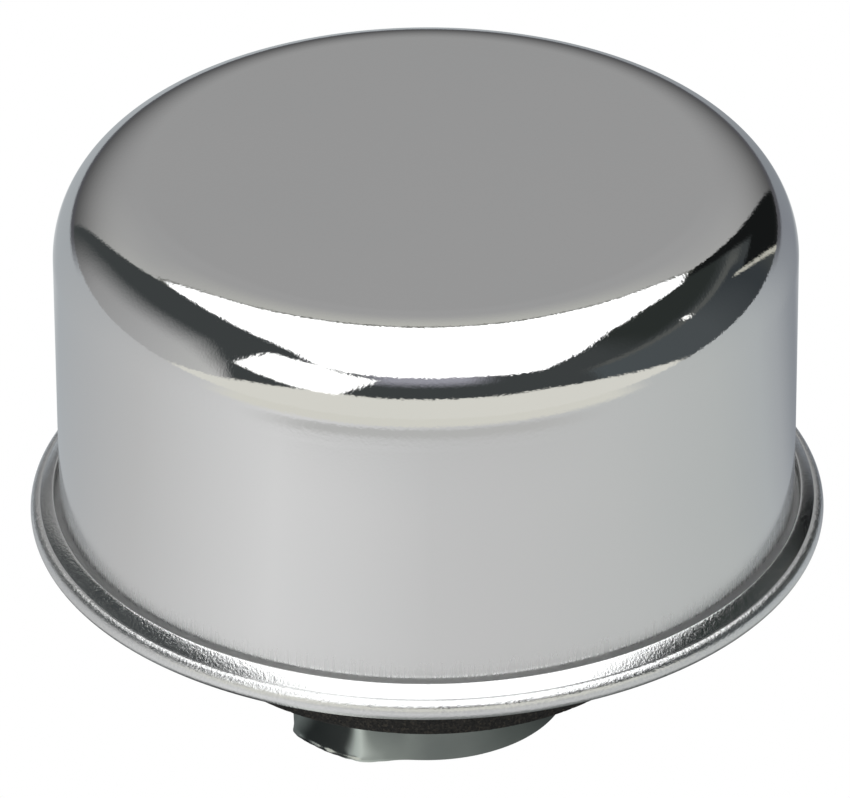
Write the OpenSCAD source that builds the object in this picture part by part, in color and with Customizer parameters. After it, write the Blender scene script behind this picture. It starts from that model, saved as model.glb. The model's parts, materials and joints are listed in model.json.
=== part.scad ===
// Twist-in crankcase breather: a drawn cap seamed to a dished pan, a bayonet neck, a gasket
// and a mesh filter. The axis is Z, the cap is up, and z = 0 is the neck's bottom edge.

/* [Cap] */
// Outer diameter of the cap just under its shoulder
cap_d = 76; // [70:0.5:100]
// Height of the cap's top above the underside of the rim
cap_h = 40; // [30:0.5:60]
// Outer radius of the shoulder
shoulder_r = 9.4; // [6:0.1:10]
// Growth of the wall's radius down to its root
wall_flare = 0.2; // [0:0.05:0.5]
// Radius of the curve from the wall to the flange
root_r = 1.85; // [1.5:0.05:3]
// Flat part of the flange past the root curve
flange_land = 0.1; // [0.1:0.05:0.6]
// Sheet thickness of the cap
cap_sheet = 0.7; // [0.5:0.05:0.9]

/* [Base pan] */
// Sheet thickness of the pan
pan_sheet = 0.7; // [0.5:0.05:0.9]
// Width of the folded lip, from its edge to the middle of the hem
lip_w = 1.3; // [0.8:0.1:1.6]
// Outer diameter of the dish under the rim
dish_d = 56; // [56:0.5:60]
// Depth of the dish below the rim
dish_depth = 7.7; // [5:0.1:12]
// Outer radius of the bend at the dish's floor
floor_bend_r = 1.5; // [1:0.1:2]
// Radius of the bend under the rim
rim_bend_r = 1.2; // [0.6:0.1:2]
// Diameter of each air inlet hole
inlet_d = 5; // [2:0.1:6]
// Number of air inlet holes
inlet_count = 24; // [8:1:30]

/* [Neck] */
// Outer diameter of the neck
neck_d = 29.7; // [27:0.1:31]
// Length of the neck below the gasket
neck_drop = 10.5; // [10:0.1:16]
// Sheet thickness of the neck
neck_sheet = 1; // [0.8:0.05:1.2]
// Radius of the bend under the neck's flange
root_bend_r = 0.8; // [0.5:0.1:1.2]
// Diameter of the neck's flange inside the pan
neck_flange_d = 42; // [41:0.5:44]

/* [Bayonet cams] */
// Diameter across the two cams at their top
cam_d = 35.8; // [34.5:0.1:37]
// How much smaller the diameter is at the foot of the cams
cam_taper = 0.6; // [0:0.1:2]
// Width of a cam's outer face
cam_w = 9.2; // [6:0.1:10]
// Slant of a cam's flanks away from the radius
cam_flank = 30; // [15:1:35]
// Height of a cam's foot above the neck's bottom
cam_foot = 0.6; // [0.5:0.1:2]
// Height of a cam's ledge above the neck's bottom
cam_top = 8.4; // [7:0.1:8.4]
// Slope of the ledge that draws the cap down
cam_slope = 5; // [0:0.5:6]
// Height of the sheared slit above the ledge
cam_slit = 0.8; // [0.8:0.1:1.2]

/* [Gasket] */
// Outer diameter of the gasket
gasket_d = 52; // [48:0.5:53]
// Thickness of the gasket
gasket_t = 3.8; // [2:0.1:6]

/* [Filter] */
// Inner diameter of the perforated tube
tube_d = 36.8; // [36.5:0.1:38]
// Sheet thickness of the tube, the screen and the baffle
screen_sheet = 0.6; // [0.4:0.05:0.8]
// Diameter of the tube's holes
tube_hole_d = 3.6; // [2:0.1:4]
// Rows of holes up the tube
tube_rows = 6; // [3:1:7]
// Holes round the tube in each row
tube_holes = 18; // [8:1:22]
// Diameter of the inlet screen's holes
screen_hole_d = 2; // [1:0.1:2.4]
// Rings of holes in the inlet screen
screen_rings = 3; // [1:1:3]
// Number of holes in each of those rings
screen_holes = 44; // [12:1:48]
// Diameter of the end plate
end_plate_d = 54; // [46:1:55]
// Sheet thickness of the end plate
end_sheet = 0.7; // [0.5:0.05:1]
// Depth of the end plate's middle, which locates the tube
end_dish = 4; // [2:0.5:6]
// Height of the splash baffle above the neck's flange
baffle_h = 11; // [8:0.5:16]
// Width of each of the baffle's three legs
baffle_leg_w = 6; // [4:0.5:8]

/* [Fits] */
// Gap between the layers of the rolled seam
seam_gap = 0.05; // [0.02:0.01:0.1]
// Gap between the lip's open edge and the cap's root curve
lip_gap = 0.45; // [0.05:0.05:0.5]
// Gap round a piece that locates in or round another
slip = 0.3; // [0.1:0.05:0.4]
// Gap between the mesh and the sheet round it
mesh_slip = 0.4; // [0.2:0.05:0.8]

/* [Hidden] */
$fn = 96;
eps = 1;

// Heights up the axis, from the neck's bottom edge
seat_z = neck_drop;
floor_z = seat_z + gasket_t;
rim_z = floor_z + dish_depth;
top_z = rim_z + cap_h;
pan_floor_z = floor_z + pan_sheet;
neck_flange_z = pan_floor_z + neck_sheet;
ceiling_z = top_z - cap_sheet;
plate_z = ceiling_z - end_sheet;

// Cap and seam
cap_r = cap_d / 2;
foot_r = cap_r + wall_flare;
flange_z = rim_z + pan_sheet + seam_gap;
flange_top_z = flange_z + cap_sheet;
root_z = flange_top_z + root_r;
shoulder_z = top_z - shoulder_r;
hem_c_r = foot_r + root_r + flange_land;
hem_in_r = cap_sheet / 2 + seam_gap;
hem_r = hem_in_r + pan_sheet;
hem_z = rim_z + hem_r;
lip_edge_r = hem_c_r - lip_w;
// The lip's open edge stands off the root curve by its gap, and its slope follows from that
root_reach = lip_w - flange_land;
root_rise = root_r - sqrt(root_r * root_r - root_reach * root_reach);
lip_lift = flange_top_z + root_rise + lip_gap - hem_z;
lip_tilt = atan2(lip_lift, lip_w) - asin(hem_in_r / norm([lip_w, lip_lift]));

// Pan, whose inlet holes lie half way across the flat ring between the dish and the cap's wall
dish_r = dish_d / 2;
gasket_r = gasket_d / 2;
floor_flat_r = dish_r - floor_bend_r;
rim_flat_r = dish_r + rim_bend_r;

// Neck and cams
neck_r = neck_d / 2;
neck_in_r = neck_r - neck_sheet;
neck_flange_r = neck_flange_d / 2;
neck_root_r = neck_r + root_bend_r;
cam_r = cam_d / 2;
cam_foot_r = cam_r - cam_taper / 2;
cam_face_x = sqrt(cam_r * cam_r - cam_w * cam_w / 4);

// Filter
tube_r = tube_d / 2;
tube_out_r = tube_r + screen_sheet;
baffle_r = tube_r - slip - 2 * screen_sheet;
screen_in_r = rim_flat_r + slip;
screen_out_r = cap_r - cap_sheet - slip;
screen_low_z = rim_z + pan_sheet;
screen_z = screen_low_z + screen_sheet;
inlet_r = (screen_in_r + screen_out_r) / 2;
mesh_in_r = tube_out_r + mesh_slip;
mesh_inset = cap_sheet + mesh_slip;

// A quarter of a bend in sheet, round its centre, in the quadrant that the two signs name
module bend(centre, inside_r, sheet, side_r, side_z) {
    reach = inside_r + sheet;
    translate(centre)
        intersection() {
            difference() {
                circle(r = reach);
                circle(r = inside_r);
            }
            translate([side_r > 0 ? 0 : -reach, side_z > 0 ? 0 : -reach])
                square(reach);
        }
}

// A straight strip of a section, from one corner to the opposite one
module strip(low, high) {
    translate(low)
        square([high[0] - low[0], high[1] - low[1]]);
}

module cap_shell() {
    color("silver")
        rotate_extrude()
            union() {
                strip([0, ceiling_z], [cap_r - shoulder_r, top_z]);
                bend([cap_r - shoulder_r, shoulder_z], shoulder_r - cap_sheet, cap_sheet, 1, 1);
                polygon([[foot_r - cap_sheet, root_z], [foot_r, root_z],
                         [cap_r, shoulder_z], [cap_r - cap_sheet, shoulder_z]]);
                bend([foot_r + root_r, root_z], root_r, cap_sheet, -1, -1);
                strip([foot_r + root_r, flange_z], [hem_c_r, flange_top_z]);
            }
}

// The hem's round edge and the folded lip's outer face, drawn in from it by an inset
module hem_fill(inset, edge_r) {
    r = hem_r - inset;
    tangent = [hem_c_r + r * sin(lip_tilt), hem_z + r * cos(lip_tilt)];
    translate([hem_c_r, hem_z])
        circle(r = r);
    polygon([[edge_r, hem_z - r], [hem_c_r, hem_z - r], tangent,
             [edge_r, tangent[1] + (tangent[0] - edge_r) * tan(lip_tilt)]]);
}

module base_pan() {
    side_r = dish_r - pan_sheet;
    hole_r = neck_root_r + slip;
    color("silver")
        difference() {
            rotate_extrude()
                union() {
                    strip([hole_r, floor_z], [floor_flat_r, pan_floor_z]);
                    bend([floor_flat_r, floor_z + floor_bend_r], floor_bend_r - pan_sheet, pan_sheet, 1, -1);
                    strip([side_r, floor_z + floor_bend_r], [dish_r, rim_z - rim_bend_r]);
                    bend([rim_flat_r, rim_z - rim_bend_r], rim_bend_r, pan_sheet, -1, 1);
                    strip([rim_flat_r, rim_z], [lip_edge_r, rim_z + pan_sheet]);
                    difference() {
                        hem_fill(0, lip_edge_r);
                        hem_fill(pan_sheet, lip_edge_r - eps);
                    }
                }
            for (i = [0 : inlet_count - 1])
                rotate([0, 0, i * 360 / inlet_count])
                    translate([inlet_r, 0, rim_z - eps])
                        cylinder(d = inlet_d, h = pan_sheet + 2 * eps);
        }
}

// Radius of a cam's outer face at a height
function cam_r_at(z) = cam_foot_r + (cam_r - cam_foot_r) * (z - cam_foot) / (cam_top - cam_foot);

// A prism with the plan of a cam on the +X side, drawn in from its flanks by an inset
module cam_prism(inset, low, high) {
    from_x = neck_r / 2;
    to_x = cam_r + eps;
    from_y = cam_w / 2 + (cam_face_x - from_x) * tan(cam_flank) - inset;
    to_y = cam_w / 2 + (cam_face_x - to_x) * tan(cam_flank) - inset;
    translate([0, 0, low])
        linear_extrude(high - low)
            polygon([[from_x, -from_y], [to_x, -to_y], [to_x, to_y], [from_x, from_y]]);
}

// The space inside a cam's tapered face, drawn in by an inset
module cam_cone(inset, low, high) {
    translate([0, 0, low])
        cylinder(r1 = cam_r_at(low) - inset, r2 = cam_r_at(high) - inset, h = high - low);
}

// Everything under a cam's sloping ledge
module cam_ledge() {
    translate([0, 0, cam_top])
        rotate([cam_slope, 0, 0])
            translate([0, -cam_r, -cam_d])
                cube([cam_d, cam_d, cam_d]);
}

// One cam: the wall pressed outwards between its flanks, sheared along the ledge
module cam() {
    slit_z = cam_top + cam_slit;
    difference() {
        intersection() {
            cam_prism(0, cam_foot, slit_z);
            cam_cone(0, cam_foot, slit_z);
            cam_ledge();
        }
        intersection() {
            cam_prism(neck_sheet / cos(cam_flank), -eps, slit_z + eps);
            cam_cone(neck_sheet, -eps, slit_z + eps);
        }
        translate([0, 0, -eps])
            cylinder(r = neck_in_r, h = slit_z + 2 * eps);
    }
}

module neck() {
    color("lightsteelblue") {
        difference() {
            rotate_extrude()
                union() {
                    strip([neck_in_r, 0], [neck_r, pan_floor_z - root_bend_r]);
                    bend([neck_root_r, pan_floor_z - root_bend_r], root_bend_r, neck_sheet, -1, 1);
                    strip([neck_root_r, pan_floor_z], [neck_flange_r, neck_flange_z]);
                }
            for (turn = [0, 180])
                rotate([0, 0, turn])
                    cam_prism(neck_sheet / cos(cam_flank), -eps, cam_top + cam_slit);
        }
        for (turn = [0, 180])
            rotate([0, 0, turn])
                cam();
    }
}

module gasket() {
    color("dimgray")
        translate([0, 0, seat_z])
            difference() {
                cylinder(r = gasket_r, h = gasket_t);
                translate([0, 0, -eps])
                    cylinder(r = cam_r + slip, h = gasket_t + 2 * eps);
            }
}

module inlet_screen() {
    pitch_r = (screen_out_r - screen_in_r) / screen_rings;
    color("gainsboro")
        difference() {
            translate([0, 0, screen_low_z])
                cylinder(r = screen_out_r, h = screen_sheet);
            translate([0, 0, screen_low_z - eps])
                cylinder(r = screen_in_r, h = screen_sheet + 2 * eps);
            for (ring = [0 : screen_rings - 1])
                for (i = [0 : screen_holes - 1])
                    rotate([0, 0, (i + ring % 2 / 2) * 360 / screen_holes])
                        translate([screen_in_r + (ring + 0.5) * pitch_r, 0, screen_low_z - eps])
                            cylinder(d = screen_hole_d, h = screen_sheet + 2 * eps, $fn = 24);
        }
}

// The knitted wire pack: it fills the dish round the neck's flange and the cap over the screen
module filter_element() {
    color("darkgray")
        rotate_extrude()
            difference() {
                union() {
                    strip([mesh_in_r, pan_floor_z], [floor_flat_r, shoulder_z]);
                    strip([mesh_in_r, screen_z], [cap_r - mesh_inset, shoulder_z]);
                    strip([mesh_in_r, shoulder_z], [cap_r - shoulder_r, plate_z]);
                    intersection() {
                        translate([cap_r - shoulder_r, shoulder_z])
                            circle(r = shoulder_r - mesh_inset);
                        strip([mesh_in_r, shoulder_z], [cap_r, plate_z]);
                    }
                }
                strip([0, pan_floor_z - eps], [neck_flange_r + mesh_slip, neck_flange_z]);
            }
}

module center_tube() {
    pitch = (plate_z - neck_flange_z) / tube_rows;
    color("gainsboro")
        difference() {
            translate([0, 0, neck_flange_z])
                cylinder(r = tube_out_r, h = plate_z - neck_flange_z);
            translate([0, 0, neck_flange_z - eps])
                cylinder(r = tube_r, h = plate_z - neck_flange_z + 2 * eps);
            for (row = [0 : tube_rows - 1])
                for (i = [0 : tube_holes - 1])
                    rotate([0, 0, (i + row % 2 / 2) * 360 / tube_holes])
                        translate([tube_r - eps, 0, neck_flange_z + (row + 0.5) * pitch])
                            rotate([0, 90, 0])
                                cylinder(d = tube_hole_d, h = screen_sheet + 2 * eps, $fn = 24);
        }
}

module end_plate() {
    dish_out_r = tube_r - slip;
    color("silver")
        rotate_extrude()
            union() {
                strip([0, plate_z - end_dish], [dish_out_r, plate_z - end_dish + end_sheet]);
                strip([dish_out_r - end_sheet, plate_z - end_dish], [dish_out_r, ceiling_z]);
                strip([dish_out_r - end_sheet, plate_z], [end_plate_d / 2, ceiling_z]);
            }
}

module splash_baffle() {
    foot_z = neck_flange_z + screen_sheet;
    roof_z = neck_flange_z + baffle_h;
    color("lightsteelblue")
        difference() {
            rotate_extrude()
                union() {
                    strip([baffle_r - screen_sheet, neck_flange_z], [tube_r - slip, foot_z]);
                    strip([baffle_r - screen_sheet, neck_flange_z], [baffle_r, roof_z]);
                    polygon([[0, roof_z], [baffle_r, roof_z - screen_sheet], [baffle_r, roof_z],
                             [0, roof_z + screen_sheet]]);
                }
            difference() {
                translate([0, 0, foot_z])
                    cylinder(r = baffle_r + slip / 2, h = baffle_h - 3 * screen_sheet);
                for (i = [0 : 2])
                    rotate([0, 0, i * 120])
                        translate([0, -baffle_leg_w / 2, foot_z - eps])
                            cube([tube_r, baffle_leg_w, baffle_h]);
            }
        }
}

cap_shell();
base_pan();
neck();
gasket();
inlet_screen();
filter_element();
center_tube();
end_plate();
splash_baffle();
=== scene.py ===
import json
import math

import bmesh
import bpy
from mathutils import Matrix, Vector, noise


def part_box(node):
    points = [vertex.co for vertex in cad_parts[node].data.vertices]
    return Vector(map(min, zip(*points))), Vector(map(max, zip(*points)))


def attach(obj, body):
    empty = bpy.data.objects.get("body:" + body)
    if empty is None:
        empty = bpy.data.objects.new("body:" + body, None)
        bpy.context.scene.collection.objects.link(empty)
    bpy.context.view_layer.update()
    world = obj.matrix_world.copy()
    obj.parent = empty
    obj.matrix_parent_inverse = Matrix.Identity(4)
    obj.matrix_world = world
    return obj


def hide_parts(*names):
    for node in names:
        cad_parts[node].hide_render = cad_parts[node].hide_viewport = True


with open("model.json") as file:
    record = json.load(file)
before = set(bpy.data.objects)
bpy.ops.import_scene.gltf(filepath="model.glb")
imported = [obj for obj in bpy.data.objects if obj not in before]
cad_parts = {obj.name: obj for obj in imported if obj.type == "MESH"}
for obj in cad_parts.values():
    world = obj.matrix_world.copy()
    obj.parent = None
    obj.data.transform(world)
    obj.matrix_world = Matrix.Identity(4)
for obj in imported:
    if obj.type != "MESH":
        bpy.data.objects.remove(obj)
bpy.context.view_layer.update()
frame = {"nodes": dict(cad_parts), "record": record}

# Lengths are in metres, and a length known in millimetres is written as a number times MM
MM = 0.001

# The photograph's width, and the camera fitted to the object's outline in it
PHOTO_W = 850
PHOTO_AZIMUTH = math.radians(-52)
PHOTO_ELEVATION = math.radians(30.755)
PHOTO_ROLL = math.radians(-0.277)
CAMERA_DISTANCE = 702.4 * MM
CAMERA_AIM_ABOVE_RIM = 12.92 * MM
FOCAL_PIXELS = 6801.2
AXIS_PIXEL_X = 426.58
SENSOR_W = 36.0
FLOOR_SIZE = 3.0

# Sizes that the frame's boxes don't tell. A lean is how far the sheet's normal tips outwards, in degrees.
# The bead and the burr are what the seaming roller left on the lip
CAP_SHEET = 0.7 * MM
PAN_SHEET = 0.7 * MM
NECK_SHEET = 1.0 * MM
SHOULDER_R = 9.4 * MM
ROOT_R = 1.85 * MM
WALL_FLARE = 0.2 * MM
FLANGE_LAND = 0.1 * MM
LIP_W = 1.3 * MM
HEM_END_DEGREES = 12
BEAD_R = 1.17 * MM
CREASE_LEAN = 7
LIP_CROWN_R = 10.4 * MM
LIP_OUTER_LEAN = 41.5
LIP_INNER_LEAN = 33
LIP_EDGE_R = 0.16 * MM
LIP_EDGE_LEAN = -60
BURR_GAP = 0.04 * MM
BURR_W = 0.2 * MM
BURR_TAPER = 0.35 * MM
SEAM_GAP = 0.05 * MM
LIP_GAP = 0.45 * MM
FLOOR_BEND_R = 1.5 * MM
RIM_BEND_R = 1.2 * MM
DISH_R = 28 * MM
INLET_RING_R = 33.25 * MM
INLET_D = 5 * MM
INLET_COUNT = 24
PAN_HOLE_SLIP = 0.3 * MM
NECK_R = 14.85 * MM
NECK_ROOT_R = 0.8 * MM
CAM_W = 9.2 * MM
CAM_TAPER = 0.3 * MM
CAM_FLANK = math.radians(30)
CAM_FOOT = 0.6 * MM
CAM_TOP = 8.4 * MM
CAM_SLOPE = math.radians(5)
CAM_SLIT = 0.8 * MM
CAM_R = 17.9 * MM
FOOT_FLARE = 0.28 * MM
FOOT_CRUMPLE = 0.2 * MM
FOOT_CURL_SHARE = 0.12
GASKET_SLIP = 0.3 * MM

# Flat stretches kept beside the bends, so that the shading stays flat there
CROWN_EASE = 0.15 * MM
PAN_EASE = 0.2 * MM
NECK_FLANGE_EASE = 0.3 * MM

# Places read from the frame
CAP_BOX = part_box("cap_shell")
PAN_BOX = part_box("base_pan")
NECK_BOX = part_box("neck")
GASKET_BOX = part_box("gasket")
TOP_Z = CAP_BOX[1][2]
FLANGE_Z = CAP_BOX[0][2]
HEM_R = CAP_SHEET / 2 + SEAM_GAP + PAN_SHEET
HEM_C_R = PAN_BOX[1][0] - HEM_R
FLOOR_Z = PAN_BOX[0][2]
RIM_Z = FLANGE_Z - PAN_SHEET - SEAM_GAP
HEM_Z = RIM_Z + HEM_R
FOOT_R = HEM_C_R - ROOT_R - FLANGE_LAND
CAP_R = FOOT_R - WALL_FLARE
ROUND_STEPS = 288


def arc(centre, radius, start, end, steps):
    """Points on an arc of a section between two angles in degrees. Angle 0 points outwards and 90 up."""
    points = []
    for i in range(steps + 1):
        angle = math.radians(start + (end - start) * i / steps)
        points.append((centre[0] + radius * math.cos(angle), centre[1] + radius * math.sin(angle)))
    return points


def new_object(name, mesh):
    """An object of the mesh, in the scene."""
    thing = bpy.data.objects.new(name, mesh)
    bpy.context.scene.collection.objects.link(thing)
    return thing


def revolve(name, outline, steps=ROUND_STEPS, sharp_degrees=30):
    """A closed solid turned round Z from a closed section of (radius, height) points.

    A point on the axis becomes one vertex.
    """
    bm = bmesh.new()
    rings = []
    for radius, height in outline:
        if radius < 1e-7:
            rings.append([bm.verts.new((0, 0, height))])
            continue
        ring = []
        for i in range(steps):
            angle = 2 * math.pi * i / steps
            ring.append(bm.verts.new((radius * math.cos(angle), radius * math.sin(angle), height)))
        rings.append(ring)
    for a, b in zip(rings, rings[1:] + rings[:1]):
        if len(a) == 1 and len(b) == 1:
            continue
        for i in range(steps):
            j = (i + 1) % steps
            if len(a) == 1:
                bm.faces.new((a[0], b[i], b[j]))
            elif len(b) == 1:
                bm.faces.new((a[i], b[0], a[j]))
            else:
                bm.faces.new((a[i], b[i], b[j], a[j]))
    bmesh.ops.recalc_face_normals(bm, faces=bm.faces)
    mesh = bpy.data.meshes.new(name)
    bm.to_mesh(mesh)
    bm.free()
    mesh.shade_smooth()
    mesh.set_sharp_from_angle(angle=math.radians(sharp_degrees))
    return new_object(name, mesh)


def apply_modifiers(thing):
    """Leaves the modified shape as the mesh itself."""
    graph = bpy.context.evaluated_depsgraph_get()
    mesh = bpy.data.meshes.new_from_object(thing.evaluated_get(graph))
    thing.modifiers.clear()
    thing.data = mesh


def dress(piece, node, material):
    """The piece stands for a CAD node, rides on the part's one body and takes a material."""
    piece.data.materials.clear()
    piece.data.materials.append(material)
    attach(piece, "root")
    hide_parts(node)


# Cap shell

def cap_section():
    """The drawn cap: flat top, shoulder, flared wall, root curve, flange, and the inside back to the axis."""
    shoulder_c = (CAP_R - SHOULDER_R, TOP_Z - SHOULDER_R)
    root_c = (FOOT_R + ROOT_R, FLANGE_Z + CAP_SHEET + ROOT_R)
    crown_edge = shoulder_c[0] - CROWN_EASE
    points = [(0, TOP_Z)]
    points += [(crown_edge * share, TOP_Z) for share in (0.1, 0.3, 0.5, 0.7, 0.85, 0.95, 1.0)]
    points += arc(shoulder_c, SHOULDER_R, 90, 0, 48)
    wall_rows = 12
    for i in range(1, wall_rows):
        share = i / wall_rows
        points.append((CAP_R + WALL_FLARE * share, shoulder_c[1] + (root_c[1] - shoulder_c[1]) * share))
    points += arc(root_c, ROOT_R, 180, 270, 14)
    points += [(HEM_C_R, FLANGE_Z + CAP_SHEET), (HEM_C_R, FLANGE_Z)]
    points += arc(root_c, ROOT_R + CAP_SHEET, 270, 180, 14)
    points += arc(shoulder_c, SHOULDER_R - CAP_SHEET, 0, 90, 32)
    points += [(0, TOP_Z - CAP_SHEET)]
    return points


# Base pan

def lip_tilt():
    """Mean slope of the folded lip, whose open edge stands off the cap's root curve."""
    reach = LIP_W - FLANGE_LAND
    rise = ROOT_R - math.sqrt(ROOT_R ** 2 - reach ** 2)
    lift = FLANGE_Z + CAP_SHEET + rise + LIP_GAP - HEM_Z
    return math.atan2(lift, LIP_W) - math.asin((HEM_R - PAN_SHEET) / math.hypot(LIP_W, lift))


def root_height(radius):
    """Height of the cap's root curve at a radius."""
    return FLANGE_Z + CAP_SHEET + ROOT_R - math.sqrt(ROOT_R ** 2 - (FOOT_R + ROOT_R - radius) ** 2)


def lip_underside(tilt, radius):
    """Height of the lip's lower face at a radius."""
    inside_r = HEM_R - PAN_SHEET
    tangent_r = HEM_C_R + inside_r * math.sin(tilt)
    tangent_z = HEM_Z + inside_r * math.cos(tilt)
    return tangent_z + (tangent_r - radius) * math.tan(tilt)


def leaning_arc(start, radius, from_tilt, to_tilt, steps):
    """An arc that leaves a point, given by how far its normals lean outwards from upright, in degrees."""
    lean = math.radians(from_tilt)
    centre = (start[0] - radius * math.sin(lean), start[1] - radius * math.cos(lean))
    return arc(centre, radius, 90 - from_tilt, 90 - to_tilt, steps)


def pan_section():
    """The dished pan from its hole out to the hem, over the rolled lip and back on the inside."""
    tilt = lip_tilt()
    lean = math.degrees(tilt)
    hole_r = NECK_R + NECK_ROOT_R + PAN_HOLE_SLIP
    floor_c = (DISH_R - FLOOR_BEND_R, FLOOR_Z + FLOOR_BEND_R)
    rim_c = (DISH_R + RIM_BEND_R, RIM_Z - RIM_BEND_R)
    points = [(hole_r, FLOOR_Z + PAN_SHEET), (hole_r, FLOOR_Z), (floor_c[0] - PAN_EASE, FLOOR_Z)]
    points += arc(floor_c, FLOOR_BEND_R, 270, 360, 14)
    points += arc(rim_c, RIM_BEND_R, 180, 90, 10)
    points += [(HEM_C_R - PAN_EASE, RIM_Z)]
    # Hem, the bead that the roller left on it, and the lip inside the crease
    points += arc((HEM_C_R, HEM_Z), HEM_R, 270, 360 + HEM_END_DEGREES, 26)
    points += leaning_arc(points[-1], BEAD_R, 90 - HEM_END_DEGREES, CREASE_LEAN, 18)[1:]
    points += leaning_arc(points[-1], LIP_CROWN_R, LIP_OUTER_LEAN, LIP_INNER_LEAN, 8)[1:]
    points += leaning_arc(points[-1], LIP_EDGE_R, LIP_INNER_LEAN, LIP_EDGE_LEAN, 6)[1:]
    # Burr of the sheared edge, which the roller pressed against the cap's root curve
    burr_r = points[-1][0]
    points += [(radius, root_height(radius) + BURR_GAP) for radius in (burr_r, burr_r + BURR_W)]
    under_r = burr_r + BURR_TAPER
    points += [(under_r, lip_underside(tilt, under_r))]
    points += arc((HEM_C_R, HEM_Z), HEM_R - PAN_SHEET, 450 - lean, 270, 16)
    points += arc(rim_c, RIM_BEND_R + PAN_SHEET, 90, 180, 10)
    points += arc(floor_c, FLOOR_BEND_R - PAN_SHEET, 360, 270, 12)
    return points


def cut_inlets(pan):
    """The air inlet holes, punched through the pan's flat ring between the dish and the cap's wall."""
    bm = bmesh.new()
    for i in range(INLET_COUNT):
        angle = 2 * math.pi * i / INLET_COUNT
        place = Matrix.Translation((INLET_RING_R * math.cos(angle), INLET_RING_R * math.sin(angle), RIM_Z))
        bmesh.ops.create_cone(bm, cap_ends=True, segments=40, radius1=INLET_D / 2, radius2=INLET_D / 2,
                              depth=6 * PAN_SHEET, matrix=place)
    mesh = bpy.data.meshes.new("inlet_cutter")
    bm.to_mesh(mesh)
    bm.free()
    cutter = new_object("inlet_cutter", mesh)
    cut = pan.modifiers.new("inlets", "BOOLEAN")
    cut.operation = "DIFFERENCE"
    cut.solver = "EXACT"
    cut.object = cutter
    apply_modifiers(pan)
    bpy.data.objects.remove(cutter)
    pan.data.set_sharp_from_angle(angle=math.radians(30))


# Neck

def soft_max(a, b, blend):
    """The larger of two lengths, with a rounded corner between them."""
    return (a + b + math.sqrt((a - b) ** 2 + blend ** 2)) / 2


def soft_min(a, b, blend):
    """The smaller of two lengths, with a rounded corner between them."""
    return -soft_max(-a, -b, blend)


def cam_bulge(angle):
    """How far the wall stands out at an angle from the middle of the nearer cam, from 0 to 1."""
    angle = abs((angle + math.pi / 2) % math.pi - math.pi / 2)
    face_x = math.sqrt(CAM_R ** 2 - CAM_W ** 2 / 4)
    lean = math.pi / 2 - CAM_FLANK
    flank = (CAM_W / 2 * math.sin(lean) + face_x * math.cos(lean)) / max(math.cos(angle - lean), 0.05)
    if angle > lean:
        return 0.0
    soft = 0.5 * MM
    reach = soft_min(CAM_R, soft_max(NECK_R, flank, soft), soft)
    base = soft_min(CAM_R, soft_max(NECK_R, 0, soft), soft)
    return max(0.0, min(1.0, (reach - base) / (CAM_R - base)))


def neck_sheet_mesh():
    """The neck's middle surface: plain edge, wall with two pressed-out cams, slit, root bend and flange."""
    steps = 360
    flange_r = NECK_BOX[1][0]
    half = NECK_SHEET / 2
    wall_r = NECK_R - half
    wall_top = NECK_BOX[1][2] - NECK_SHEET - NECK_ROOT_R
    low_rows = 24
    upper = [(wall_r, CAM_TOP + CAM_SLIT)]
    upper += [(wall_r, CAM_TOP + CAM_SLIT + (wall_top - CAM_TOP - CAM_SLIT) * s) for s in (0.3, 0.6)]
    upper += arc((NECK_R + NECK_ROOT_R, wall_top), NECK_ROOT_R + half, 180, 90, 8)
    upper += [(flange_r - NECK_FLANGE_EASE, NECK_BOX[1][2] - half), (flange_r, NECK_BOX[1][2] - half)]
    bm = bmesh.new()
    columns = []
    for i in range(steps):
        angle = 2 * math.pi * i / steps
        side = 1 if math.cos(angle) >= 0 else -1
        bulge = cam_bulge(angle)
        across = side * math.sin(angle) * CAM_R
        ledge = CAM_TOP + across * math.tan(CAM_SLOPE) * bulge
        foot = CAM_FOOT * bulge
        column = []
        for row in range(low_rows):
            share = row / (low_rows - 1)
            height = foot + (ledge - foot) * share
            curl = max(0.0, 1 - share / FOOT_CURL_SHARE)
            cam_r = CAM_R - half - CAM_TAPER * (1 - share) + FOOT_FLARE * curl ** 2
            crumple = FOOT_CRUMPLE * curl * noise.noise(Vector((angle * 22, height / MM, 3)))
            radius = wall_r + (cam_r + crumple - wall_r) * bulge
            column.append(bm.verts.new((radius * math.cos(angle), radius * math.sin(angle), height)))
        for radius, height in upper:
            column.append(bm.verts.new((radius * math.cos(angle), radius * math.sin(angle), height)))
        columns.append((column, bulge))
    for i in range(steps):
        (a, bulge_a), (b, bulge_b) = columns[i], columns[(i + 1) % steps]
        for row in range(len(a) - 1):
            if row == low_rows - 1 and max(bulge_a, bulge_b) > 0.04:
                continue
            bm.faces.new((a[row], b[row], b[row + 1], a[row + 1]))
    bmesh.ops.recalc_face_normals(bm, faces=bm.faces)
    mesh = bpy.data.meshes.new("neck_collar")
    bm.to_mesh(mesh)
    bm.free()
    return mesh


def make_neck():
    """The neck's sheet in its full thickness, with slightly broken edges."""
    neck = new_object("neck_collar", neck_sheet_mesh())
    thick = neck.modifiers.new("sheet", "SOLIDIFY")
    thick.thickness = NECK_SHEET
    thick.offset = 0
    thick.use_even_offset = True
    soften = neck.modifiers.new("sheared_edge", "BEVEL")
    soften.width = 0.1 * MM
    soften.segments = 2
    soften.limit_method = "ANGLE"
    soften.angle_limit = math.radians(60)
    apply_modifiers(neck)
    neck.data.shade_smooth()
    neck.data.set_sharp_from_angle(angle=math.radians(50))
    return neck


# Gasket

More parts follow.
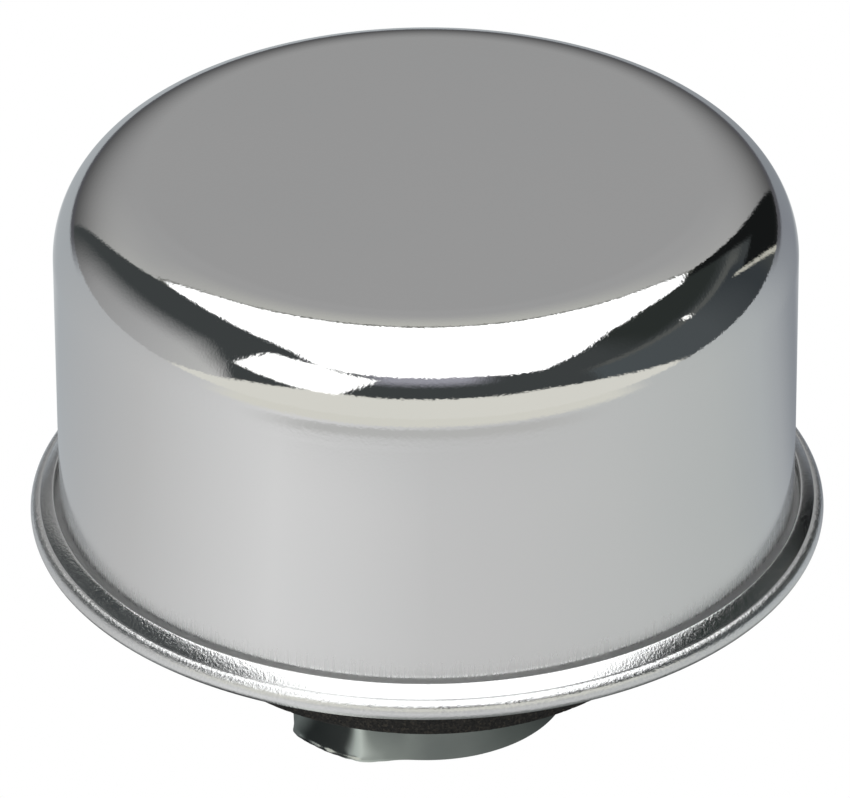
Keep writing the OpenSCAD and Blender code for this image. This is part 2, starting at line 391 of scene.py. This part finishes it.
def make_gasket():
    """A cut ring of cellular rubber: straight faces with open cells, and slightly crushed corners."""
    low, high = GASKET_BOX
    flat_from = high[2] - 0.05 * MM
    outer = high[0]
    inner = CAM_R + GASKET_SLIP
    corner = 0.35 * MM
    rows = 14
    cols = 26
    points = []
    points += [(inner + (outer - inner) * i / cols, low[2]) for i in range(1, cols)]
    points += arc((outer - corner, low[2] + corner), corner, 270, 360, 4)
    points += [(outer, low[2] + corner + (high[2] - low[2] - 2 * corner) * i / rows) for i in range(1, rows)]
    points += arc((outer - corner, high[2] - corner), corner, 0, 90, 4)
    points += [(inner, high[2]), (inner, low[2])]
    ring = revolve("gasket_ring", points, steps=720, sharp_degrees=80)
    grain = 0.45 * MM
    depth = 0.16 * MM
    for vertex in ring.data.vertices:
        place = vertex.co
        if place.z > flat_from:
            continue
        cell = noise.noise(place / grain) * 0.6 + noise.noise(place / (grain * 2.3)) * 0.5
        normal = vertex.normal.copy()
        vertex.co = place + normal * (min(cell, 0.0) * depth)
    return ring


# Nodes

def new_material(name):
    """A material with its node tree and its main shader."""
    material = bpy.data.materials.new(name)
    material.use_nodes = True
    tree = material.node_tree
    return material, tree, tree.nodes["Principled BSDF"]


def add(tree, kind, **settings):
    """A new node. Each setting names one of its inputs or, where it has none of that name, a property."""
    node = tree.nodes.new(kind)
    for key, value in settings.items():
        if key in node.inputs:
            node.inputs[key].default_value = value
        else:
            setattr(node, key, value)
    return node


def stretched_noise(tree, scale_xyz, noise_scale, detail=3.0, roughness=0.5):
    """Noise in the object's own metres, stretched by a scale for each axis."""
    place = add(tree, "ShaderNodeTexCoord")
    stretch = add(tree, "ShaderNodeMapping")
    stretch.inputs["Scale"].default_value = scale_xyz
    grain = add(tree, "ShaderNodeTexNoise", Scale=noise_scale, Detail=detail, Roughness=roughness)
    tree.links.new(place.outputs["Object"], stretch.inputs["Vector"])
    tree.links.new(stretch.outputs["Vector"], grain.inputs["Vector"])
    return grain


def height_of_surface(tree):
    """Height above the neck's bottom edge."""
    place = add(tree, "ShaderNodeTexCoord")
    split = add(tree, "ShaderNodeSeparateXYZ")
    tree.links.new(place.outputs["Object"], split.inputs["Vector"])
    return split.outputs["Z"]


def radius_of_surface(tree):
    """Distance from the cap's axis."""
    place = add(tree, "ShaderNodeTexCoord")
    flat = add(tree, "ShaderNodeMapping")
    flat.inputs["Scale"].default_value = (1, 1, 0)
    length = add(tree, "ShaderNodeVectorMath", operation="LENGTH")
    tree.links.new(place.outputs["Object"], flat.inputs["Vector"])
    tree.links.new(flat.outputs["Vector"], length.inputs["Vector"])
    return length.outputs["Value"]


def ramp(tree, source, stops):
    """A colour ramp over a grey value. Each stop is (position, grey or colour)."""
    node = add(tree, "ShaderNodeValToRGB")
    elements = node.color_ramp.elements
    while len(elements) < len(stops):
        elements.new(0.5)
    for element, (position, colour) in zip(elements, stops):
        if isinstance(colour, (int, float)):
            colour = (colour, colour, colour)
        element.position = position
        element.color = (*colour, 1)
    tree.links.new(source, node.inputs["Fac"])
    return node.outputs["Color"]


def bump(tree, shader, height, strength, distance, below=None):
    """Bumps the shader's normal, over the normal below where one is given. Returns the new normal."""
    node = add(tree, "ShaderNodeBump", Strength=strength, Distance=distance)
    tree.links.new(height, node.inputs["Height"])
    if below is not None:
        tree.links.new(below, node.inputs["Normal"])
    tree.links.new(node.outputs["Normal"], shader.inputs["Normal"])
    return node.outputs["Normal"]


def value_math(tree, operation, a, b=None, clamp=False):
    """A Math node over sockets or plain numbers. Returns its output."""
    node = add(tree, "ShaderNodeMath", operation=operation, use_clamp=clamp)
    for socket, value in zip(node.inputs, (a, b)):
        if value is None:
            continue
        if isinstance(value, (int, float)):
            socket.default_value = value
        else:
            tree.links.new(value, socket)
    return node.outputs[0]


def smooth_range(tree, value, low, high):
    """0 on low's side and 1 on high's, with a smooth step between. Low may be the larger number."""
    node = add(tree, "ShaderNodeMapRange", interpolation_type="SMOOTHSTEP")
    node.inputs["From Min"].default_value = low
    node.inputs["From Max"].default_value = high
    tree.links.new(value, node.inputs["Value"])
    return node.outputs["Result"]


def between(tree, value, low, high, soft):
    """1 between low and high, falling to 0 over a soft edge outside them."""
    rise = smooth_range(tree, value, low - soft, low)
    fall = smooth_range(tree, value, high, high + soft)
    return value_math(tree, "SUBTRACT", rise, fall, clamp=True)


def both(tree, *shares):
    """A share that holds only where all the given ones do: their product."""
    result = shares[0]
    for share in shares[1:]:
        result = value_math(tree, "MULTIPLY", result, share)
    return result


# Materials

def chrome_cap_material():
    """Bright plate over drawn steel, with a fine orange peel.

    The wall has upright draw lines and a rubbed foot, satin at the root. The shoulder's foot is grainy.
    """
    material, tree, shader = new_material("chrome_cap")
    shader.inputs["Metallic"].default_value = 1
    haze = stretched_noise(tree, (1, 1, 1), 60, detail=4)
    tint = ramp(tree, haze.outputs["Fac"], [(0.3, (0.79, 0.794, 0.795)), (0.7, (0.80, 0.80, 0.80))])
    tree.links.new(tint, shader.inputs["Base Color"])
    height = height_of_surface(tree)
    rubbed = smooth_range(tree, height, RIM_Z + 10 * MM, RIM_Z + 3.5 * MM)
    on_wall = smooth_range(tree, height, TOP_Z - SHOULDER_R, TOP_Z - SHOULDER_R - 5 * MM)
    at_bend = between(tree, height, TOP_Z - SHOULDER_R - 0.4 * MM, TOP_Z - SHOULDER_R + 1.2 * MM, 0.8 * MM)
    lines = stretched_noise(tree, (1, 1, 0.03), 2800, detail=2)
    streak = ramp(tree, lines.outputs["Fac"], [(0.35, 0.19), (0.65, 0.29)])
    at_root = smooth_range(tree, height, RIM_Z + 3.5 * MM, RIM_Z + 3 * MM)
    gloss = value_math(tree, "ADD", both(tree, rubbed, streak), value_math(tree, "MULTIPLY", at_root, 0.22))
    gloss = value_math(tree, "ADD", gloss, 0.035)
    tree.links.new(gloss, shader.inputs["Roughness"])
    normal = bump(tree, shader, both(tree, lines.outputs["Fac"], on_wall), 0.3, 0.001 * MM)
    coarse = stretched_noise(tree, (1, 1, 1), 2200, detail=3)
    normal = bump(tree, shader, both(tree, coarse.outputs["Fac"], at_bend), 1.0, 0.012 * MM, below=normal)
    peel = stretched_noise(tree, (1, 1, 1), 3400, detail=2)
    bump(tree, shader, peel.outputs["Fac"], 1.0, 0.005 * MM, below=normal)
    return material


def chrome_pan_material():
    """The same plate on the rolled seam: fine grain on the lip, coarse and sparkling on the bead."""
    material, tree, shader = new_material("chrome_pan")
    shader.inputs["Metallic"].default_value = 1
    grain = stretched_noise(tree, (1, 1, 1), 3600, detail=3, roughness=0.6)
    tint = ramp(tree, grain.outputs["Fac"], [(0.35, (0.74, 0.75, 0.755)), (0.65, (0.82, 0.825, 0.825))])
    tree.links.new(tint, shader.inputs["Base Color"])
    gloss = ramp(tree, grain.outputs["Fac"], [(0.3, 0.1), (0.7, 0.22)])
    tree.links.new(gloss, shader.inputs["Roughness"])
    normal = bump(tree, shader, grain.outputs["Fac"], 0.9, 0.035 * MM)
    on_bead = between(tree, radius_of_surface(tree), HEM_C_R + 0.3 * MM, HEM_C_R + 0.85 * MM, 0.25 * MM)
    rolled = stretched_noise(tree, (1, 1, 1.3), 2900, detail=3, roughness=0.65)
    bump(tree, shader, both(tree, rolled.outputs["Fac"], on_bead), 1.0, 0.065 * MM, below=normal)
    return material


def zinc_material():
    """Zinc plate: cool greenish grey, satin, with soft cloudy patches and small scuffs."""
    material, tree, shader = new_material("zinc_neck")
    shader.inputs["Metallic"].default_value = 1
    cloud = stretched_noise(tree, (1, 1, 1), 140, detail=5)
    tint = ramp(tree, cloud.outputs["Fac"], [(0.3, (0.53, 0.57, 0.55)), (0.7, (0.66, 0.695, 0.67))])
    tree.links.new(tint, shader.inputs["Base Color"])
    gloss = ramp(tree, cloud.outputs["Fac"], [(0.3, 0.1), (0.7, 0.2)])
    tree.links.new(gloss, shader.inputs["Roughness"])
    scuffs = stretched_noise(tree, (1, 1, 0.25), 1800, detail=4, roughness=0.65)
    bump(tree, shader, scuffs.outputs["Fac"], 0.4, 0.01 * MM)
    return material


def gasket_material():
    """Black cellular rubber with brownish and grey grains."""
    material, tree, shader = new_material("gasket_foam")
    place = add(tree, "ShaderNodeTexCoord")
    cells = add(tree, "ShaderNodeTexVoronoi", Scale=4200.0)
    tree.links.new(place.outputs["Object"], cells.inputs["Vector"])
    tint = ramp(tree, cells.outputs["Color"],
                [(0.0, (0.010, 0.010, 0.011)), (0.6, (0.024, 0.023, 0.022)), (0.92, (0.06, 0.052, 0.044))])
    tree.links.new(tint, shader.inputs["Base Color"])
    rough = ramp(tree, cells.outputs["Distance"], [(0.0, 0.95), (1.0, 0.75)])
    tree.links.new(rough, shader.inputs["Roughness"])
    bump(tree, shader, cells.outputs["Distance"], 0.8, 0.12 * MM)
    return material


def plain_steel_material():
    """Unplated steel inside: dull, faintly oily and rolled in one direction."""
    material, tree, shader = new_material("inner_steel")
    shader.inputs["Metallic"].default_value = 1
    rolled = stretched_noise(tree, (1, 0.08, 1), 1400, detail=4)
    tint = ramp(tree, rolled.outputs["Fac"], [(0.3, (0.42, 0.42, 0.41)), (0.7, (0.6, 0.6, 0.58))])
    tree.links.new(tint, shader.inputs["Base Color"])
    gloss = ramp(tree, rolled.outputs["Fac"], [(0.3, 0.28), (0.7, 0.45)])
    tree.links.new(gloss, shader.inputs["Roughness"])
    bump(tree, shader, rolled.outputs["Fac"], 0.3, 0.01 * MM)
    return material


def wire_mesh_material():
    """Crimped knitted wire: rows of loops, with painted shade in the gaps between them."""
    material, tree, shader = new_material("wire_mesh")
    shader.inputs["Metallic"].default_value = 1
    place = add(tree, "ShaderNodeTexCoord")
    loops = add(tree, "ShaderNodeTexWave", Scale=260.0, Distortion=9.0, Detail=2.0)
    loops.inputs["Detail Scale"].default_value = 2.5
    tree.links.new(place.outputs["Object"], loops.inputs["Vector"])
    # Painted shade: near black in the gaps between the loops, metal grey on them
    tint = ramp(tree, loops.outputs["Fac"], [(0.35, (0.02, 0.02, 0.02)), (0.7, (0.55, 0.55, 0.53))])
    tree.links.new(tint, shader.inputs["Base Color"])
    gloss = ramp(tree, loops.outputs["Fac"], [(0.3, 0.7), (0.7, 0.3)])
    tree.links.new(gloss, shader.inputs["Roughness"])
    bump(tree, shader, loops.outputs["Fac"], 1.0, 0.3 * MM)
    return material


# Studio

def blend_in(tree, below, colour, share):
    """The colour laid over what is below it, where share is 1."""
    node = add(tree, "ShaderNodeMix", data_type="RGBA")
    tree.links.new(share, node.inputs["Factor"])
    if isinstance(below, tuple):
        node.inputs["A"].default_value = (*below, 1)
    else:
        tree.links.new(below, node.inputs["A"])
    if isinstance(colour, tuple):
        node.inputs["B"].default_value = (*colour, 1)
    else:
        tree.links.new(colour, node.inputs["B"])
    return node.outputs["Result"]


def tone_round(tree, azimuth, stops):
    """A colour for each azimuth in degrees, between the stops round the compass."""
    share = value_math(tree, "MULTIPLY_ADD", azimuth, 1 / 360)
    share.node.inputs[2].default_value = 0.5
    return ramp(tree, share, [((place + 180) / 360, colour) for place, colour in stops])


def skyline(tree, azimuth, corners):
    """An elevation in degrees for each azimuth, along straight lines between the corners."""
    height = tone_round(tree, azimuth, [(place, elevation / 90) for place, elevation in corners])
    return value_math(tree, "MULTIPLY", height, 90)


def below_line(tree, elevation, line, soft):
    """1 below a skyline and 0 above it."""
    return smooth_range(tree, value_math(tree, "SUBTRACT", line, elevation), -soft / 2, soft / 2)


def leaning(tree, value, other, slope):
    """A coordinate less a slope times another one, for edges that lean."""
    return value_math(tree, "SUBTRACT", value, value_math(tree, "MULTIPLY", other, slope))


def view_frame(tree, output):
    """X to the right, Y away from the camera and Z up, as the photograph's view has them, and the azimuth.

    The azimuth is in degrees. 0 is straight behind the object, and the camera is at 180.
    """
    place = add(tree, "ShaderNodeTexCoord")
    turn = add(tree, "ShaderNodeMapping", vector_type="POINT")
    turn.inputs["Rotation"].default_value = (0, 0, -PHOTO_AZIMUTH)
    split = add(tree, "ShaderNodeSeparateXYZ")
    tree.links.new(place.outputs[output], turn.inputs["Vector"])
    tree.links.new(turn.outputs["Vector"], split.inputs["Vector"])
    x, y, z = split.outputs
    azimuth = value_math(tree, "MULTIPLY", value_math(tree, "ARCTAN2", x, y), 180 / math.pi)
    return x, y, z, azimuth


def dark_room(tree, azimuth, elevation):
    """Dark room, with a dull screen low down on the right under a paler strip."""
    corner = both(tree, between(tree, azimuth, 50, 95, 25), smooth_range(tree, elevation, 31, 37))
    colour = blend_in(tree, (0.055, 0.061, 0.062), (0.028, 0.033, 0.031), corner)
    strip = both(tree, between(tree, azimuth, 54, 118, 14), between(tree, elevation, 27.5, 30, 3))
    colour = blend_in(tree, colour, (0.105, 0.11, 0.105), strip)
    screen = both(tree, between(tree, azimuth, 58, 124, 6), smooth_range(tree, elevation, 29.5, 27))
    tone = tone_round(tree, azimuth, [(62, (0.042, 0.049, 0.054)), (86, (0.078, 0.088, 0.093)),
                                      (124, (0.080, 0.093, 0.099))])
    return blend_in(tree, colour, tone, screen)


def backdrop_gaps(tree, colour, azimuth, elevation):
    """Black gaps at the right of the backdrop, and a lamp stand in front of them."""
    gap = both(tree, between(tree, leaning(tree, azimuth, elevation, 0.13), 20, 40.5, 3),
               smooth_range(tree, elevation, 50, 42))
    stand_line = leaning(tree, azimuth, elevation, 0.595)
    low_gap = both(tree, between(tree, azimuth, 20, 58, 1), smooth_range(tree, elevation, 22, 20),
                   smooth_range(tree, stand_line, 47.5, 46.5))
    for share in (gap, low_gap):
        colour = blend_in(tree, colour, (0.009, 0.01, 0.01), share)
    stand = both(tree, between(tree, stand_line, 46.4, 47.6, 1), smooth_range(tree, elevation, 24, 22.5))
    return blend_in(tree, colour, (0.55, 0.54, 0.47), stand)


def side_panel(tree, colour, azimuth, elevation):
    """Pale panel at the left, darker towards the backdrop."""
    top = skyline(tree, azimuth, [(-180, 0), (-125, 2), (-121, 13), (-116, 26), (-107, 35), (-100, 38.5),
                                  (-85, 36.5), (-67, 30), (-55, 23), (-47, 13), (-40, 0), (180, 0)])
    tone = tone_round(tree, azimuth, [(-122, (0.66, 0.65, 0.64)), (-110, (0.55, 0.55, 0.54)),
                                      (-90, 0.46), (-62, 0.35), (-44, 0.15)])
    depth = below_line(tree, value_math(tree, "ADD", elevation, 8), top, 26)
    panel = both(tree, below_line(tree, elevation, top, 7), depth)
    return blend_in(tree, colour, tone, panel)


def room_front(tree, colour, azimuth, elevation):
    """Cream front of the room below the dark behind the camera, and a haze above."""
    spread = value_math(tree, "ABSOLUTE", azimuth)
    top = skyline(tree, azimuth, [(-180, 23.2), (-150, 22.8), (-140, 20.5), (-125, 13.5), (-118, 8),
                                  (-100, 0), (98, 0), (112, 7.5), (125, 15), (144, 21.5), (180, 23.2)])
    front = both(tree, below_line(tree, elevation, top, 1.5), smooth_range(tree, spread, 97, 104))
    colour = blend_in(tree, colour, (0.80, 0.79, 0.725), front)
    haze = both(tree, smooth_range(tree, spread, 152, 168), smooth_range(tree, elevation, 35, 45))
    return blend_in(tree, colour, (0.37, 0.37, 0.42), haze)


def grey_backdrop(tree, colour, azimuth, elevation):
    """Grey backdrop, paler at its sides and towards the light."""
    backdrop = both(tree, smooth_range(tree, leaning(tree, azimuth, elevation, -0.29), -39, -37.8),
                    smooth_range(tree, leaning(tree, azimuth, elevation, 0.28), 30.2, 29.2))
    tone = tone_round(tree, azimuth, [(-54, (0.5, 0.5, 0.48)), (-36, (0.43, 0.43, 0.425)), (-15, 0.397),
                                      (15, 0.397), (36, (0.43, 0.43, 0.425)), (46, (0.48, 0.48, 0.46))])
    tone = blend_in(tree, tone, (0.05, 0.05, 0.052), smooth_range(tree, elevation, 36, -12))
    tone = blend_in(tree, tone, (0.56, 0.56, 0.52), smooth_range(tree, elevation, 40, 64))
    return blend_in(tree, colour, tone, backdrop)


def softbox(tree, colour, azimuth, elevation):
    """Softbox overhead, with a dark seam along its far edge."""
    low = skyline(tree, azimuth, [(-180, 48.5), (-150, 48.5), (-137, 51), (-120, 57.5), (-105, 59),
                                  (-90, 58), (-75, 55.8), (-61, 51), (-50, 44.4), (-42, 50.5), (-30, 58),
                                  (-15, 62.3), (0, 63.7), (15, 62.3), (30, 56), (42.5, 45), (52, 46),
                                  (60, 50), (70, 53.7), (92, 55.6), (107, 53), (125, 47.5), (139, 42.5),
                                  (150, 44.5), (162, 48), (180, 48.5)])
    below_seam = below_line(tree, value_math(tree, "ADD", elevation, 1.6), low, 1)
    above_seam = value_math(tree, "SUBTRACT", 1, below_seam, clamp=True)
    seam = both(tree, above_seam, between(tree, azimuth, -52, 44, 2))
    colour = blend_in(tree, colour, (0.10, 0.105, 0.09), seam)
    overhead = value_math(tree, "SUBTRACT", 1, below_line(tree, elevation, low, 0.9), clamp=True)
    return blend_in(tree, colour, (1.75, 1.75, 1.75), overhead)


def pane_and_lamp(tree, colour, azimuth, elevation):
    """Window at the left behind the camera, with a slanted lower corner, and a small lamp at the right."""
    pane = both(tree, smooth_range(tree, leaning(tree, azimuth, elevation, -0.47), -143.8, -142.2),
                smooth_range(tree, azimuth, -116.8, -118), smooth_range(tree, elevation, 51, 50),
                smooth_range(tree, leaning(tree, elevation, azimuth, 0.29), 91, 90),
                smooth_range(tree, elevation, 21, 22),
                smooth_range(tree, leaning(tree, elevation, azimuth, 0.28), 60, 61.4))
    colour = blend_in(tree, colour, (1.6, 1.6, 1.58), pane)
    lamp = both(tree, between(tree, azimuth, 84.4, 85.6, 1), between(tree, elevation, 29.6, 31.6, 1.4))
    return blend_in(tree, colour, (1.5, 1.5, 1.45), lamp)


def studio_world():
    """The room that the chrome reflects, in degrees of azimuth and elevation round the photograph's view."""
    world = bpy.data.worlds.new("studio")
    bpy.context.scene.world = world
    world.use_nodes = True
    tree = world.node_tree
    tree.nodes.clear()
    _, _, z, azimuth = view_frame(tree, "Generated")
    elevation = value_math(tree, "MULTIPLY", value_math(tree, "ARCSINE", z), 180 / math.pi)
    colour = dark_room(tree, azimuth, elevation)
    for layer in (backdrop_gaps, side_panel, room_front, grey_backdrop, softbox, pane_and_lamp):
        colour = layer(tree, colour, azimuth, elevation)
    shine = add(tree, "ShaderNodeBackground")
    tree.links.new(colour, shine.inputs["Color"])
    end = add(tree, "ShaderNodeOutputWorld")
    tree.links.new(shine.outputs["Background"], end.inputs["Surface"])


def table_tone(tree):
    """The table's light and shade by direction, and by the distance in metres from the cap's axis."""
    x, y, _, azimuth = view_frame(tree, "Object")
    spread = value_math(tree, "ABSOLUTE", azimuth)
    reach = value_math(tree, "SQRT", value_math(tree, "ADD", value_math(tree, "MULTIPLY", x, x),
                                                value_math(tree, "MULTIPLY", y, y)))
    # Painted light and shade of the table round the cap, by azimuth, then painted bands by distance: cream
    # far in front, grey in front, dark far behind, a light strip close behind
    table = tone_round(tree, azimuth, [(-180, 0.665), (-160, 0.735), (-141, 0.785), (-120, 0.695),
                                       (-96, 0.585), (-72, (0.505, 0.515, 0.525)),
                                       (-45, (0.43, 0.455, 0.475)), (0, (0.43, 0.46, 0.48)),
                                       (10, (0.32, 0.34, 0.36)), (28, (0.26, 0.28, 0.305)),
                                       (39, (0.25, 0.265, 0.295)), (50, (0.30, 0.32, 0.345)),
                                       (62, (0.41, 0.43, 0.45)), (74, (0.48, 0.505, 0.515)),
                                       (95, (0.54, 0.56, 0.555)), (130, (0.60, 0.61, 0.605)),
                                       (165, 0.64), (180, 0.66)])
    far_front = both(tree, smooth_range(tree, reach, 0.30, 0.42), smooth_range(tree, spread, 112, 128))
    table = blend_in(tree, table, (0.77, 0.76, 0.69), far_front)
    front_band = both(tree, between(tree, reach, 0.17, 0.23, 0.06), smooth_range(tree, spread, 125, 155))
    table = blend_in(tree, table, (0.55, 0.55, 0.54), front_band)
    far_back = both(tree, smooth_range(tree, reach, 0.5, 0.9), smooth_range(tree, spread, 58, 40))
    table = blend_in(tree, table, (0.10, 0.10, 0.11), far_back)
    near_back = both(tree, smooth_range(tree, reach, 0.16, 0.12), smooth_range(tree, spread, 45, 8))
    table = blend_in(tree, table, (0.85, 0.87, 0.88), near_back)
    # Painted shadow under the cap: the table within a few centimetres of the axis is darker, by azimuth
    shade = tone_round(tree, azimuth, [(-180, (0.225, 0.235, 0.23)), (-169, (0.31, 0.325, 0.31)),
                                       (-158, (0.74, 0.76, 0.73)), (-152, (0.60, 0.63, 0.61)),
                                       (-147, (0.04, 0.043, 0.043)), (-129, (0.022, 0.025, 0.026)),
                                       (-120, (0.17, 0.185, 0.185)), (-88, (0.05, 0.055, 0.055)),
                                       (-60, (0.2, 0.215, 0.215)), (60, (0.1, 0.105, 0.105)),
                                       (119, (0.06, 0.066, 0.065)), (138, (0.125, 0.135, 0.13)),
                                       (159, (0.19, 0.2, 0.195)), (180, (0.225, 0.235, 0.23))])
    return blend_in(tree, table, shade, smooth_range(tree, reach, 0.060, 0.044))


def make_floor():
    """A white floor that gives off light. The camera sees it evenly white, and the metal sees painted light
    and shade of a table on it.
    """
    bm = bmesh.new()
    bmesh.ops.create_grid(bm, x_segments=1, y_segments=1, size=FLOOR_SIZE)
    mesh = bpy.data.meshes.new("floor")
    bm.to_mesh(mesh)
    bm.free()
    floor = new_object("floor", mesh)
    material = bpy.data.materials.new("floor_white_and_painted_table_light")
    material.use_nodes = True
    tree = material.node_tree
    tree.nodes.clear()
    seen = add(tree, "ShaderNodeEmission")
    seen.inputs["Color"].default_value = (1, 1, 1, 1)
    mirrored = add(tree, "ShaderNodeEmission")
    tree.links.new(table_tone(tree), mirrored.inputs["Color"])
    path = add(tree, "ShaderNodeLightPath")
    either = add(tree, "ShaderNodeMixShader")
    tree.links.new(path.outputs["Is Camera Ray"], either.inputs["Fac"])
    tree.links.new(mirrored.outputs[0], either.inputs[1])
    tree.links.new(seen.outputs[0], either.inputs[2])
    end = add(tree, "ShaderNodeOutputMaterial")
    tree.links.new(either.outputs[0], end.inputs["Surface"])
    mesh.materials.append(material)


def make_camera():
    """The camera of the fit: it looks at the axis, down by the photograph's elevation."""
    data = bpy.data.cameras.new("camera")
    camera = bpy.data.objects.new("camera", data)
    bpy.context.scene.collection.objects.link(camera)
    data.sensor_width = SENSOR_W
    data.lens = FOCAL_PIXELS * SENSOR_W / PHOTO_W
    data.shift_x = (PHOTO_W / 2 - AXIS_PIXEL_X) / PHOTO_W
    back = Vector((math.sin(PHOTO_AZIMUTH) * math.cos(PHOTO_ELEVATION),
                   -math.cos(PHOTO_AZIMUTH) * math.cos(PHOTO_ELEVATION),
                   math.sin(PHOTO_ELEVATION)))
    aim = Vector((0, 0, RIM_Z + CAMERA_AIM_ABOVE_RIM))
    turn = (-back).to_track_quat("-Z", "Y").to_matrix() @ Matrix.Rotation(PHOTO_ROLL, 3, "Z")
    camera.matrix_world = Matrix.Translation(aim + back * CAMERA_DISTANCE) @ turn.to_4x4()
    data.clip_start = 0.01
    data.clip_end = 20
    bpy.context.scene.camera = camera


# The camera and studio
make_camera()
studio_world()
make_floor()
bpy.context.scene.view_settings.view_transform = "Standard"

# The pieces that show
dress(revolve("cap", cap_section()), "cap_shell", chrome_cap_material())
pan = revolve("pan", pan_section())
cut_inlets(pan)
dress(pan, "base_pan", chrome_pan_material())
dress(make_neck(), "neck", zinc_material())
gasket = make_gasket()
dress(gasket, "gasket", gasket_material())

# The inner pieces keep their CAD solids
inner = {"inner_steel": plain_steel_material(), "wire_mesh": wire_mesh_material()}
for row in frame["record"]["subparts"]:
    if row["material_slot"] in inner:
        node = frame["nodes"][row["node"]]
        node.data.materials.clear()
        node.data.materials.append(inner[row["material_slot"]])
